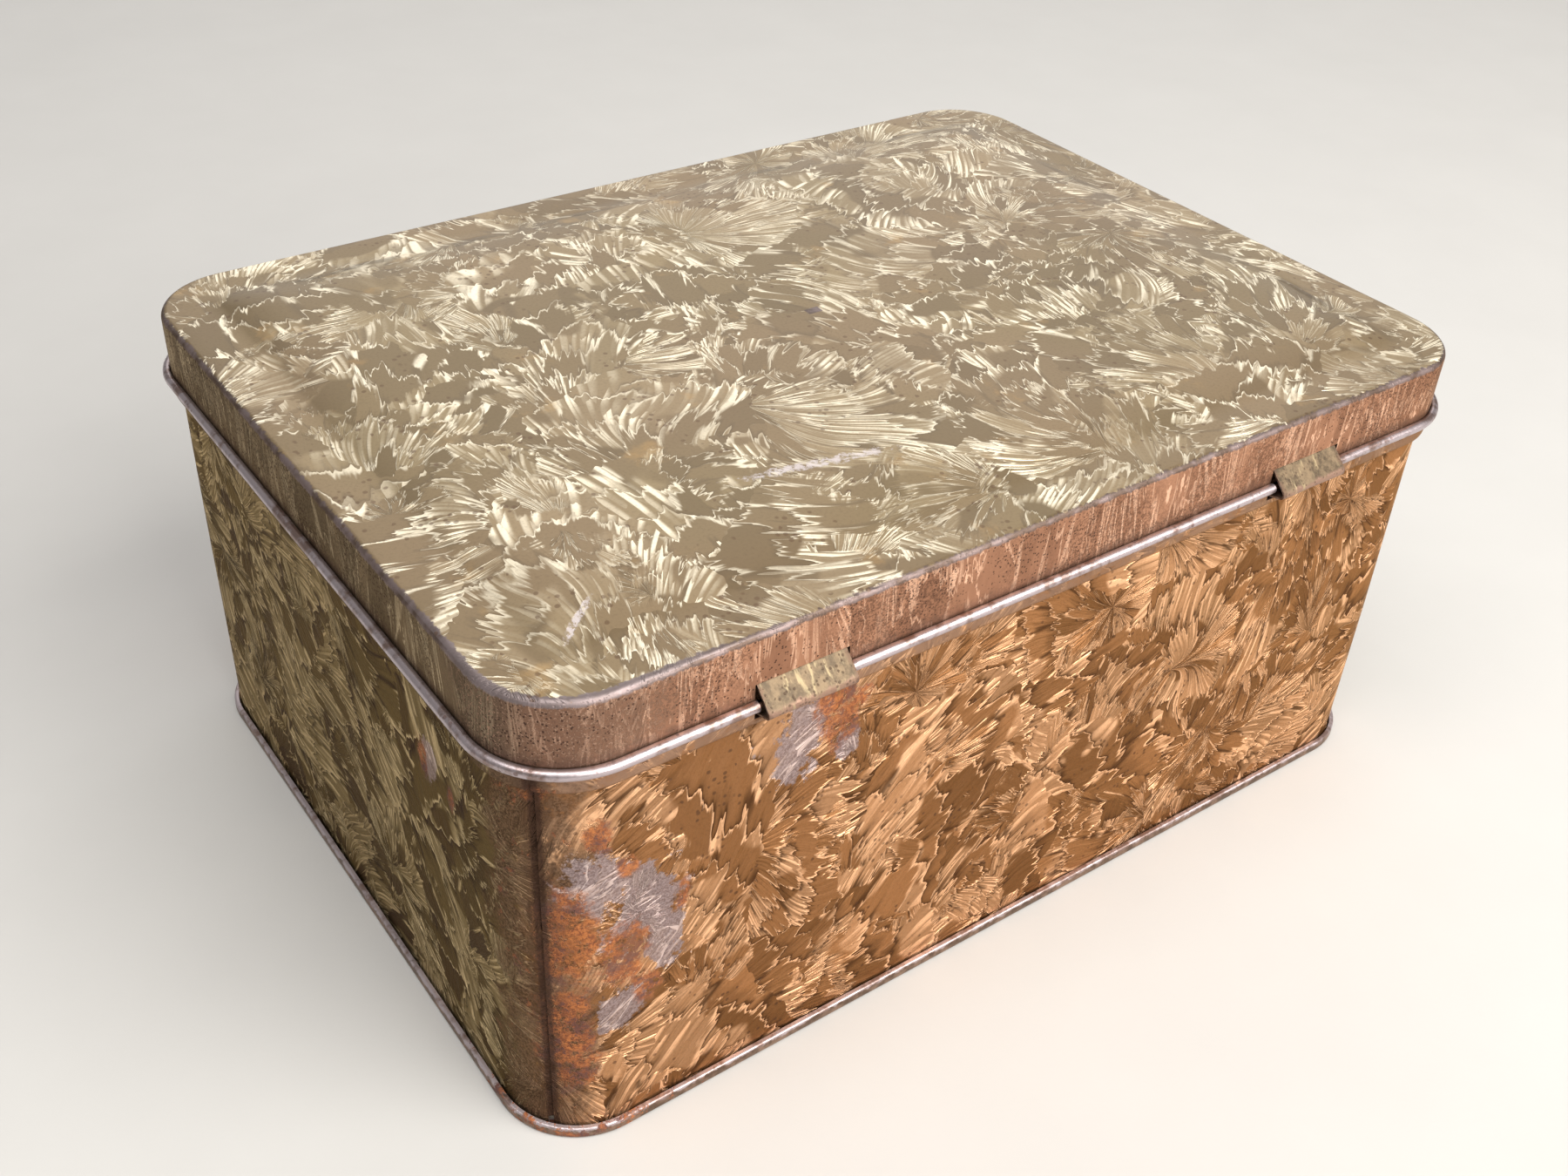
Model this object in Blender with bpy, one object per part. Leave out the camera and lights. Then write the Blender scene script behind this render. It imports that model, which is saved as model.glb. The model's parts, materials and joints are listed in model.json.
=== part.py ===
"""A hinged box of lacquered tinplate, modelled as the sheet-metal pieces it is made of.

Frame: metres, +X to the right, -Y to the front, +Z up. The box stands on Z = 0 and
its hinge runs along the back. A section through the sheet metal is drawn in (d, z):
d is the distance outward from the lid skirt's outer face, and z is the height.
"""
import math

import bmesh
import bpy
from mathutils import Vector

MM = 0.001

# Overall sizes
LENGTH = 280 * MM  # lid skirt, outer face to outer face, along X
WIDTH = 204 * MM  # lid skirt, outer face to outer face, along Y
HINGE_HEIGHT = 112 * MM  # centre of the lid's rolled bead
CORNER_RADIUS = 21 * MM  # lid skirt's outer face, seen from above
SHEET = 0.35 * MM  # tinplate

# Lid
LID_DEPTH = 17 * MM  # bead centre up to the flat border
LID_EDGE_RADIUS = 1.8 * MM
BORDER_WIDTH = 14 * MM
PANEL_RISE = 2.6 * MM
PANEL_BLEND = 22 * MM  # width over which the panel rises
PANEL_CORNER = 6 * MM
BEAD_RADIUS = 1.25 * MM
BEAD_TURN = 300  # degrees of curl around the wire
WIRE_RADIUS = 0.6 * MM

# Walls
SKIRT_GAP = 1.35 * MM  # neck's outer face to the skirt's inner face
NECK_RISE = 9.5 * MM  # hinge line up to the neck's top
HEM_DEPTH = 4.5 * MM
HEM_RADIUS = 0.45 * MM
SEAT_GAP = 0.35 * MM  # bead to the shoulder band below it
BAND_HEIGHT = 5.6 * MM
BAND_PROUD = 1.75 * MM
BAND_RADIUS = 0.8 * MM

# Side seams, one on each of two opposite corners
SEAM_ANGLE = 42  # degrees around the corner, from the end wall
SEAM_GAP = 0.4 * MM
JOGGLE = 0.9 * MM
LAP_WIDTH = 5 * MM
LAP_GAP = 0.15 * MM
LAP_END_GAP = 0.5 * MM  # lap's ends to the hem and to the base panel

# Base
RIM_HEIGHT = 3.2 * MM
RIM_RADIUS = 0.725 * MM
RECESS = 3.8 * MM  # base panel's underside above the floor
FLANGE_WIDTH = 1 * MM
FLANGE_HEIGHT = 2.2 * MM
SHEET_GAP = 0.3 * MM

# Hinge straps
STRAP_SHEET = 0.45 * MM
STRAP_WIDTH = 22.4 * MM
STRAP_SPACING = 152 * MM  # centre to centre
STRAP_GAP = 0.6 * MM  # strap's side to the notch's side
SEATED_GAP = 0.1 * MM  # soldered leaf to the sheet behind it
NOSE_REACH = 1.9 * MM  # wire's centre out to the nose's centre
NOSE_DROP = 0.9 * MM
NOSE_RADIUS = 1.5 * MM
LEAF_START = 4.9 * MM  # above the hinge line
LEAF_LENGTH = 3.2 * MM
NOTCH_TOP = 4.7 * MM  # above the hinge line
TAIL_DROP = 3.4 * MM  # strap's way through the wall, below the hinge line
TAIL_LENGTH = 8 * MM

CORNER_STEPS = 8

# Where the pieces meet, worked out from the sizes above
WALL = -1.5 * SHEET - SKIRT_GAP
BEAD = BEAD_RADIUS - SHEET
BEAD_BOTTOM = HINGE_HEIGHT - BEAD_RADIUS
BAND_REACH = BEAD_RADIUS + SEAT_GAP + SHEET / 2 + BAND_RADIUS
BAND_OFFSET = BEAD - (WALL + BAND_PROUD - BAND_RADIUS)
BAND_TOP = HINGE_HEIGHT - math.sqrt(BAND_REACH ** 2 - BAND_OFFSET ** 2) + BAND_RADIUS
BAND_BOTTOM = BAND_TOP - BAND_HEIGHT
LID_TOP = HINGE_HEIGHT + LID_DEPTH
STRAP_EXTENT = BEAD + NOSE_REACH + NOSE_RADIUS
BEAD_EXTENT = BEAD + BEAD_RADIUS
CENTRE_Y = (BEAD_EXTENT - STRAP_EXTENT) / 2  # keeps the whole box centred on the origin
HINGE = Vector((0, CENTRE_Y + WIDTH / 2 + BEAD, HINGE_HEIGHT))


# Sections

def arc(centre, radius, start, end, steps):
    """Points of an arc in (d, z), its ends included; angles in degrees."""
    points = []
    for step in range(steps + 1):
        angle = math.radians(start + (end - start) * step / steps)
        points.append(Vector((centre[0] + radius * math.cos(angle), centre[1] + radius * math.sin(angle))))
    return points


def offset_line(line, distance):
    """The line moved to its own left, with mitred corners."""
    moved = []
    for index, point in enumerate(line):
        before = line[max(index - 1, 0)]
        after = line[min(index + 1, len(line) - 1)]
        arriving = (point - before).normalized() if index else (after - point).normalized()
        leaving = (after - point).normalized() if index < len(line) - 1 else arriving
        along = (arriving + leaving).normalized()
        side = Vector((-along.y, along.x))
        moved.append(point + side * distance / max(along.dot(arriving), 0.5))
    return moved


def both_faces(line, thickness, shift=0.0):
    """Both faces of a sheet whose middle follows the line, or lies a shift to its left."""
    return offset_line(line, shift + thickness / 2), offset_line(line, shift - thickness / 2)


def lid_section():
    """From the panel's edge, over the border and down the skirt, to the end of the curl."""
    middle = LID_TOP - SHEET / 2
    line = []
    for step in range(6, 0, -1):
        share = step / 6
        rise = PANEL_RISE * (1 - (1 - share) ** 2.2)
        line.append(Vector((-BORDER_WIDTH - PANEL_BLEND * share, middle + rise)))
    line.append(Vector((-BORDER_WIDTH, middle)))
    edge = LID_EDGE_RADIUS - SHEET / 2
    line += arc((-LID_EDGE_RADIUS, LID_TOP - LID_EDGE_RADIUS), edge, 90, 0, 5)
    line += arc((BEAD, HINGE_HEIGHT), BEAD_RADIUS - SHEET / 2, 180, 180 + BEAD_TURN, 15)
    return line


def wall_section():
    """From the flange inside the base's rim, up the wall, to the hem inside the neck.

    Also gives the places in that list between which a side seam laps.
    """
    half = FLANGE_WIDTH / 2
    foot = SHEET * 1.5 + SHEET_GAP + half
    line = [Vector((WALL + FLANGE_WIDTH, FLANGE_HEIGHT))]
    line += arc((WALL + half, foot), half, 0, -180, 6)
    lap_from = len(line)
    line.append(Vector((WALL, RECESS + SHEET + LAP_END_GAP)))
    proud = WALL + BAND_PROUD
    line += arc((WALL + BAND_RADIUS, BAND_BOTTOM), BAND_RADIUS, 180, 90, 3)[:-1]
    line += arc((proud - BAND_RADIUS, BAND_BOTTOM + 2 * BAND_RADIUS), BAND_RADIUS, -90, 0, 3)
    line += arc((proud - BAND_RADIUS, BAND_TOP - BAND_RADIUS), BAND_RADIUS, 0, 90, 3)
    line += arc((WALL + BAND_RADIUS, BAND_TOP + BAND_RADIUS), BAND_RADIUS, -90, -180, 3)[1:]
    neck_top = HINGE_HEIGHT + NECK_RISE - HEM_RADIUS
    lap_to = len(line)
    line.append(Vector((WALL, neck_top - HEM_DEPTH - LAP_END_GAP)))
    line += arc((WALL - HEM_RADIUS, neck_top), HEM_RADIUS, 0, 180, 6)
    line.append(Vector((WALL - 2 * HEM_RADIUS, neck_top - HEM_DEPTH)))
    return line, lap_from, lap_to


def base_section():
    """From the recessed panel, down inside the wall, around its foot and over its flange."""
    middle = SHEET / 2
    chuck = WALL - SHEET - SHEET_GAP
    floor = RIM_RADIUS + middle
    line = arc((chuck - RIM_RADIUS, RECESS + middle - RIM_RADIUS), RIM_RADIUS, 90, 0, 4)
    line += arc((chuck + RIM_RADIUS, floor), RIM_RADIUS, 180, 270, 4)
    line += arc((-middle - RIM_RADIUS, floor), RIM_RADIUS, -90, 0, 4)
    cover = 2 * middle
    line += arc((-middle - cover, RIM_HEIGHT - middle - cover), cover, 0, 90, 3)
    line.append(Vector((WALL + SHEET + SHEET_GAP, RIM_HEIGHT - middle)))
    return line


def strap_section():
    """From the leaf on the neck, around the lid's wire, to the tail inside the wall."""
    leaf = WALL + SHEET / 2 + SEATED_GAP + STRAP_SHEET / 2
    tail = WALL - SHEET / 2 - SEATED_GAP - STRAP_SHEET / 2
    start = Vector((leaf, HINGE_HEIGHT + LEAF_START))
    nose = Vector((BEAD + NOSE_REACH, HINGE_HEIGHT - NOSE_DROP))
    radius = NOSE_RADIUS - STRAP_SHEET / 2
    through = Vector((tail, HINGE_HEIGHT - TAIL_DROP))
    way_out = nose - start
    way_in = through - nose
    first = math.atan2(way_out.y, way_out.x) + math.asin(radius / way_out.length) + math.pi / 2
    last = math.atan2(way_in.y, way_in.x) + math.asin(radius / way_in.length) + math.pi / 2
    line = [start + Vector((0, LEAF_LENGTH)), start]
    line += arc(nose, radius, math.degrees(first), math.degrees(last) - 360 * (last > first), 10)
    line += [through, through - Vector((0, TAIL_LENGTH))]
    return line


# Meshes

def outline_point(corner, angle, offset):
    """A point of the box's outline, seen from above, at an angle around one of its corners."""
    radius = max(CORNER_RADIUS + offset, PANEL_CORNER)
    side_x = (1, -1, -1, 1)[corner]
    side_y = (1, 1, -1, -1)[corner]
    turn = math.radians(angle)
    x = side_x * (LENGTH / 2 + offset - radius) + radius * math.cos(turn)
    y = side_y * (WIDTH / 2 + offset - radius) + radius * math.sin(turn)
    return Vector((x, y + CENTRE_Y, 0))


def closed_stations():
    """Stations all the way round the outline: corner and angle."""
    stations = []
    for corner in range(4):
        for step in range(CORNER_STEPS + 1):
            stations.append((corner, 90 * (corner + step / CORNER_STEPS)))
    return stations


def wall_stations(first_corner):
    """Stations of one L-shaped wall sheet, then those of the lap behind the other sheet's edge."""
    turn = 90 * first_corner
    sheet = [(first_corner, turn + SEAM_ANGLE + (90 - SEAM_ANGLE) * step / 4) for step in range(5)]
    middle = (first_corner + 1) % 4
    for step in range(CORNER_STEPS + 1):
        sheet.append((middle, turn + 90 * (1 + step / CORNER_STEPS)))
    last = (first_corner + 2) % 4
    radius = CORNER_RADIUS + WALL
    lap_start = SEAM_ANGLE - math.degrees(SEAM_GAP / radius)
    sheet_end = lap_start - math.degrees(JOGGLE / radius)
    lap_end = SEAM_ANGLE + math.degrees(LAP_WIDTH / radius)
    for step in range(4):
        sheet.append((last, turn + 180 + sheet_end * step / 3))
    lap = [(last, turn + 180 + lap_start + (lap_end - lap_start) * step / 2) for step in range(3)]
    return sheet, lap


def place(station, point):
    """A section's point at one station."""
    corner, angle = station
    return outline_point(corner, angle, point.x) + Vector((0, 0, point.y))


def finish(name, mesh, faces, material, origin):
    """Make an object of a bmesh whose faces are listed, with its normals facing outward."""
    for corners in faces:
        mesh.faces.new(corners)
    bmesh.ops.recalc_face_normals(mesh, faces=mesh.faces)
    bmesh.ops.translate(mesh, verts=mesh.verts, vec=-origin)
    data = bpy.data.meshes.new(name)
    mesh.to_mesh(data)
    mesh.free()
    data.materials.append(material)
    data.shade_smooth()
    data.set_sharp_from_angle(angle=math.radians(35))
    part = bpy.data.objects.new(name, data)
    part.location = origin
    bpy.context.scene.collection.objects.link(part)
    return part


def add_rows(mesh, stations, points):
    """Vertices of one face of the sheet, as one row for each station."""
    return [[mesh.verts.new(place(station, point)) for point in points] for station in stations]


def side_faces(rows, closed):
    """Quads between neighbouring rows."""
    faces = []
    for index in range(len(rows) if closed else len(rows) - 1):
        here = rows[index]
        ahead = rows[(index + 1) % len(rows)]
        for step in range(len(here) - 1):
            faces.append((here[step], here[step + 1], ahead[step + 1], ahead[step]))
    return faces


def edge_faces(left, right, column, closed):
    """Quads along one long edge of the sheet, between its two faces."""
    edge_left = [[row[column]] for row in left]
    edge_right = [[row[column]] for row in right]
    pairs = [a + b for a, b in zip(edge_left, edge_right)]
    return side_faces(pairs, closed)


def end_faces(left, right):
    """Quads across one end of the sheet, between a row of each of its faces."""
    return side_faces([left, right], False)


def pressed_sheet(name, line, material, origin=Vector()):
    """A sheet with a whole panel in the middle and its section swept all the way round."""
    mesh = bmesh.new()
    stations = closed_stations()
    left, right = [add_rows(mesh, stations, points) for points in both_faces(line, SHEET)]
    faces = side_faces(left, True) + side_faces(right, True)
    faces += edge_faces(left, right, -1, True)
    faces.append([row[0] for row in left])
    faces.append([row[0] for row in right])
    return finish(name, mesh, faces, material, origin)


def lapped_sheet(name, first_corner, material):
    """A wall sheet swept from its plain edge to its other edge, where it steps in to a lap."""
    mesh = bmesh.new()
    line, low, high = wall_section()
    sheet, lap = wall_stations(first_corner)
    left, right = [add_rows(mesh, sheet, points) for points in both_faces(line, SHEET)]
    faces = side_faces(left, False) + side_faces(right, False)
    faces += edge_faces(left, right, 0, False) + edge_faces(left, right, -1, False)
    faces += end_faces(left[0], right[0])
    faces += end_faces(left[-1][:low + 1], right[-1][:low + 1])
    faces += end_faces(left[-1][high:], right[-1][high:])
    laps = []
    for rows, points in zip((left, right), both_faces(line, SHEET, SHEET + LAP_GAP)):
        laps.append([rows[-1][low:high + 1]] + add_rows(mesh, lap, points[low:high + 1]))
    faces += side_faces(laps[0], False) + side_faces(laps[1], False)
    faces += edge_faces(*laps, 0, False) + edge_faces(*laps, -1, False)
    faces += end_faces(laps[0][-1], laps[1][-1])
    return finish(name, mesh, faces, material, Vector())


def box_cutter(name, low, high):
    """A box for a boolean, from its low to its high corner."""
    mesh = bmesh.new()
    bmesh.ops.create_cube(mesh, size=1)
    for vertex in mesh.verts:
        share = vertex.co + Vector((0.5, 0.5, 0.5))
        vertex.co = Vector([low[axis] + (high[axis] - low[axis]) * share[axis] for axis in range(3)])
    data = bpy.data.meshes.new(name)
    mesh.to_mesh(data)
    mesh.free()
    cutter = bpy.data.objects.new(name, data)
    cutter.hide_render = True
    cutter.display_type = 'WIRE'
    bpy.context.scene.collection.objects.link(cutter)
    return cutter


def cut(part, cutter):
    """Take a cutter away from a part."""
    modifier = part.modifiers.new(cutter.name, 'BOOLEAN')
    modifier.operation = 'DIFFERENCE'
    modifier.solver = 'EXACT'
    modifier.object = cutter


# Materials

def metal(name, colour, roughness, metallic):
    """A plain metal for one piece."""
    material = bpy.data.materials.new(name)
    material.use_nodes = True
    shader = material.node_tree.nodes['Principled BSDF']
    shader.inputs['Base Color'].default_value = (*colour, 1)
    shader.inputs['Roughness'].default_value = roughness
    shader.inputs['Metallic'].default_value = metallic
    return material


# Pieces

def strap_places():
    """Name and X of each hinge strap."""
    return (('left', -STRAP_SPACING / 2), ('right', STRAP_SPACING / 2))


def make_walls():
    """Two L-shaped sheets that lap at two opposite corners."""
    for name, first_corner in (('wall_sheet_back', 0), ('wall_sheet_front', 2)):
        material = metal(f'{name}_lacquer', (0.50, 0.33, 0.14), 0.38, 0.85)
        wall = lapped_sheet(name, first_corner, material)
        if first_corner == 0:
            slit_wall(wall)


def slit_wall(wall):
    """Cut the slits through the shoulder band that the straps' tails pass through."""
    for name, x in strap_places():
        half = STRAP_WIDTH / 2 + STRAP_GAP
        way = HINGE_HEIGHT - TAIL_DROP
        back = CENTRE_Y + WIDTH / 2
        near = (x - half, back + WALL - 2 * SHEET, way - STRAP_SHEET / 2 - 1.5 * SHEET_GAP)
        far = (x + half, back + BEAD, BEAD_BOTTOM + SHEET)
        cut(wall, box_cutter(f'slit_{name}', near, far))


def make_base():
    """A recessed panel whose rim is seamed around the walls' flange."""
    pressed_sheet('base_panel', base_section(), metal('base_lacquer', (0.42, 0.33, 0.22), 0.42, 0.9))


def make_lid(pivot):
    """The pressed lid, notched at the straps, with the wire that its edge is curled around."""
    lid = pressed_sheet('lid_shell', lid_section(), metal('lid_lacquer', (0.47, 0.40, 0.20), 0.36, 0.85), HINGE)
    for name, x in strap_places():
        half = STRAP_WIDTH / 2 + STRAP_GAP
        back = CENTRE_Y + WIDTH / 2
        near = (x - half, back - SHEET - SKIRT_GAP / 2, HINGE_HEIGHT - 2 * BEAD_RADIUS)
        far = (x + half, back + 2 * BEAD_EXTENT, HINGE_HEIGHT + NOTCH_TOP)
        cut(lid, box_cutter(f'notch_{name}', near, far))
    wire = make_wire()
    for part in (lid, wire):
        part.parent = pivot
        part.location = (0, 0, 0)


def make_wire():
    """A round wire, bent to the box's outline and joined end to end."""
    mesh = bmesh.new()
    rim = arc((BEAD, HINGE_HEIGHT), WIRE_RADIUS, 0, 330, 11)
    rows = add_rows(mesh, closed_stations(), rim)
    closed_rows = [row + row[:1] for row in rows]
    material = metal('wire_steel', (0.45, 0.42, 0.40), 0.35, 1.0)
    return finish('lid_wire', mesh, side_faces(closed_rows, True), material, HINGE)


def make_straps():
    """The two straps that carry the lid's wire."""
    for name, x in strap_places():
        mesh = bmesh.new()
        rows = []
        for points in both_faces(strap_section(), STRAP_SHEET):
            for side in (-1, 1):
                places = [(x + side * STRAP_WIDTH / 2, CENTRE_Y + WIDTH / 2 + p.x, p.y) for p in points]
                rows.append([mesh.verts.new(place) for place in places])
        ring = [rows[0], rows[1], rows[3], rows[2]]
        faces = side_faces(ring, True)
        faces += [[row[0] for row in ring], [row[-1] for row in ring]]
        material = metal(f'strap_{name}_lacquer', (0.48, 0.38, 0.20), 0.45, 0.8)
        finish(f'hinge_strap_{name}', mesh, faces, material, Vector())


def main():
    for item in list(bpy.data.objects):
        bpy.data.objects.remove(item, do_unlink=True)
    pivot = bpy.data.objects.new('lid_pivot', None)
    pivot.location = HINGE
    bpy.context.scene.collection.objects.link(pivot)
    make_walls()
    make_base()
    make_lid(pivot)
    make_straps()


main()
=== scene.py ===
"""The looks of a hinged box of crystallised tinplate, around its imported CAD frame.

Metres, +X along the hinge, +Y to the back where the hinge is, +Z up. A section through the
sheet metal is drawn in (d, z): d is the distance outward from the lid skirt's outer face, and
z is the height. Patterns are worked out in millimetres.
"""
import json
import math

import bmesh
import bpy
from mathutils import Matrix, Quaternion, Vector, noise


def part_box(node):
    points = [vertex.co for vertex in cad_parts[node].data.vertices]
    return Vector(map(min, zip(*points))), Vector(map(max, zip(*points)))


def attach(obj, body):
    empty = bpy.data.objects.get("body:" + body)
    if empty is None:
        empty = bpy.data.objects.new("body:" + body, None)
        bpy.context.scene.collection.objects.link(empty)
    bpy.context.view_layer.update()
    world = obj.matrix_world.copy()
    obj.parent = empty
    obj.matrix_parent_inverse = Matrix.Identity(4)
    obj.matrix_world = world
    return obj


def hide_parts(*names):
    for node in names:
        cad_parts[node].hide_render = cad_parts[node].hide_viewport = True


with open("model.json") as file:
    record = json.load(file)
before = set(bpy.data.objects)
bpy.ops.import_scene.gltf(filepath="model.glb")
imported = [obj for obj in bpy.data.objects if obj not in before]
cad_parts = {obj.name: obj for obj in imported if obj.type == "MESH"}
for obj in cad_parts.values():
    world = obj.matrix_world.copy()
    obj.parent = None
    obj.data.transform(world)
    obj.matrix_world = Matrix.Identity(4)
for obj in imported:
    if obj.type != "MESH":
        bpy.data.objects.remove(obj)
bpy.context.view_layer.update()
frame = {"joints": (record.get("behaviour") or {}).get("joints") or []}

MM = 0.001

# Sheet metal
SHEET = 0.35 * MM
LID_EDGE_RADIUS = 1.8 * MM
BORDER_WIDTH = 14 * MM
PANEL_RISE = 2.6 * MM
PANEL_BLEND = 22 * MM
PANEL_CORNER = 6 * MM
CORNER_RADIUS = 21 * MM
BEAD_RADIUS = 1.25 * MM
BEAD_TURN = 300
WIRE_RADIUS = 0.6 * MM
SKIRT_GAP = 1.35 * MM
NECK_RISE = 9.5 * MM
HEM_DEPTH = 4.5 * MM
HEM_RADIUS = 0.45 * MM
SEAT_GAP = 0.35 * MM
BAND_HEIGHT = 5.6 * MM
BAND_PROUD = 1.75 * MM
BAND_RADIUS = 0.8 * MM
SEAM_ANGLE = 42
SEAM_GAP = 0.4 * MM
JOGGLE = 0.9 * MM
LAP_WIDTH = 5 * MM
LAP_GAP = 0.15 * MM
LAP_END_GAP = 0.5 * MM
RIM_HEIGHT = 3.2 * MM
RIM_RADIUS = 0.725 * MM
RECESS = 3.8 * MM
FLANGE_WIDTH = 1 * MM
FLANGE_HEIGHT = 2.2 * MM
SHEET_GAP = 0.3 * MM
STRAP_SHEET = 0.45 * MM
STRAP_GAP = 0.6 * MM
SEATED_GAP = 0.1 * MM
NOSE_REACH = 1.9 * MM
NOSE_DROP = 0.9 * MM
NOSE_RADIUS = 1.5 * MM
LEAF_START = 4.9 * MM
LEAF_LENGTH = 3.2 * MM
NOTCH_TOP = 4.7 * MM
TAIL_DROP = 3.4 * MM
TAIL_LENGTH = 8 * MM

# How finely the sheets are made
CORNER_STEPS = 20
RUN_STEP = 6 * MM
BLEND_STEPS = 16
ROLL_STEPS = 8
CURL_STEPS = 26
BEND_STEPS = 6
HEM_STEPS = 8
LAP_STEPS = 4
STRAP_STEPS = 14
LID_RINGS = 12
BASE_RINGS = 10
SMALLEST_RING = 0.02
SHARP_ANGLE = 38

# How uneven the sheets are, in layers of lumps: size, seed and height
LID_DENTS = ((0.07, 11, 0.55 * MM), (0.028, 5, 0.16 * MM))
LID_HOLLOW = 0.5 * MM
SKIRT_LEAN = ((0.045, 3, 0.18 * MM),)
WALL_DENTS = ((0.06, 21, 0.5 * MM), (0.024, 8, 0.14 * MM))
BASE_DENTS = ((0.06, 31, 0.5 * MM),)
RIM_LEAN = ((0.03, 2, 0.1 * MM),)
STRAP_SWAY = ((0.009, 4, 0.1 * MM),)

# The frame's own places
hinge = Vector(frame["joints"][0]["pos_m"])
lid_low, lid_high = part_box("lid_shell")
HINGE_HEIGHT = hinge.z
BEAD = BEAD_RADIUS - SHEET
BEAD_EXTENT = BEAD + BEAD_RADIUS
BEAD_BOTTOM = HINGE_HEIGHT - BEAD_RADIUS
LENGTH = lid_high.x - lid_low.x - 2 * BEAD_EXTENT
WIDTH = lid_high.y - lid_low.y - 2 * BEAD_EXTENT
CENTRE_Y = (lid_low.y + lid_high.y) / 2
LID_TOP = lid_high.z - PANEL_RISE
WALL = -1.5 * SHEET - SKIRT_GAP
BAND_REACH = BEAD_RADIUS + SEAT_GAP + SHEET / 2 + BAND_RADIUS
BAND_OFFSET = BEAD - (WALL + BAND_PROUD - BAND_RADIUS)
BAND_TOP = HINGE_HEIGHT - math.sqrt(BAND_REACH ** 2 - BAND_OFFSET ** 2) + BAND_RADIUS
BAND_BOTTOM = BAND_TOP - BAND_HEIGHT
STRAPS = {side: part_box(f"hinge_strap_{side}") for side in ("left", "right")}


# Sections

def arc(centre, radius, start, end, steps):
    """Points of an arc in (d, z), its ends included; angles in degrees."""
    points = []
    for step in range(steps + 1):
        angle = math.radians(start + (end - start) * step / steps)
        reach = Vector((math.cos(angle), math.sin(angle))) * radius
        points.append(Vector((centre[0] + reach.x, centre[1] + reach.y)))
    return points


def run(start, end, steps):
    """Points between two points of a section, neither included."""
    return [start.lerp(end, step / steps) for step in range(1, steps)]


def offset_line(line, distance):
    """The line moved to its own left, with mitred corners."""
    moved = []
    for index, point in enumerate(line):
        before = line[max(index - 1, 0)]
        after = line[min(index + 1, len(line) - 1)]
        arriving = (point - before).normalized() if index else (after - point).normalized()
        leaving = (after - point).normalized() if index < len(line) - 1 else arriving
        along = (arriving + leaving).normalized()
        side = Vector((-along.y, along.x))
        moved.append(point + side * distance / max(along.dot(arriving), 0.5))
    return moved


def lid_section():
    """From the panel's edge, over the border and down the skirt, to the end of the curl.

    Also gives the rows at the middle of the edge's roll, at the notches' top and at the
    curl's start.
    """
    middle = LID_TOP - SHEET / 2
    line = []
    for step in range(BLEND_STEPS, 0, -1):
        share = step / BLEND_STEPS
        rise = PANEL_RISE * (1 - (1 - share) ** 2.2)
        line.append(Vector((-BORDER_WIDTH - PANEL_BLEND * share, middle + rise)))
    line.append(Vector((-BORDER_WIDTH, middle)))
    edge = LID_EDGE_RADIUS - SHEET / 2
    roll = arc((-LID_EDGE_RADIUS, LID_TOP - LID_EDGE_RADIUS), edge, 90, 0, ROLL_STEPS)
    line += run(line[-1], roll[0], 4)
    roll_row = len(line) + ROLL_STEPS // 2
    notch = Vector((-SHEET / 2, HINGE_HEIGHT + NOTCH_TOP))
    curl_radius = BEAD_RADIUS - SHEET / 2
    curl = arc((BEAD, HINGE_HEIGHT), curl_radius, 180, 180 + BEAD_TURN, CURL_STEPS)
    line += roll + run(roll[-1], notch, 4)
    notch_row = len(line)
    line += [notch] + run(notch, curl[0], 3)
    return line + curl, roll_row, notch_row, len(line)


def wall_section():
    """From the flange up the wall to the hem inside the neck, and where a side seam laps."""
    half = FLANGE_WIDTH / 2
    foot = SHEET * 1.5 + SHEET_GAP + half
    line = [Vector((WALL + FLANGE_WIDTH, FLANGE_HEIGHT))]
    line += arc((WALL + half, foot), half, 0, -180, HEM_STEPS)
    lap_from = len(line)
    line.append(Vector((WALL, RECESS + SHEET + LAP_END_GAP)))
    proud = WALL + BAND_PROUD
    lower = arc((WALL + BAND_RADIUS, BAND_BOTTOM), BAND_RADIUS, 180, 90, BEND_STEPS)
    line += run(line[-1], lower[0], 18) + lower[:-1]
    face = proud - BAND_RADIUS
    line += arc((face, BAND_BOTTOM + 2 * BAND_RADIUS), BAND_RADIUS, -90, 0, BEND_STEPS)
    line.append(Vector((proud, slit_height()[0])))
    line += arc((face, BAND_TOP - BAND_RADIUS), BAND_RADIUS, 0, 90, BEND_STEPS)
    neck = (WALL + BAND_RADIUS, BAND_TOP + BAND_RADIUS)
    line += arc(neck, BAND_RADIUS, -90, -180, BEND_STEPS)[1:]
    neck_top = HINGE_HEIGHT + NECK_RISE - HEM_RADIUS
    lap_to = len(line)
    line.append(Vector((WALL, neck_top - HEM_DEPTH - LAP_END_GAP)))
    line += arc((WALL - HEM_RADIUS, neck_top), HEM_RADIUS, 0, 180, HEM_STEPS)
    line.append(Vector((WALL - 2 * HEM_RADIUS, neck_top - HEM_DEPTH)))
    return line, lap_from, lap_to


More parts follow.
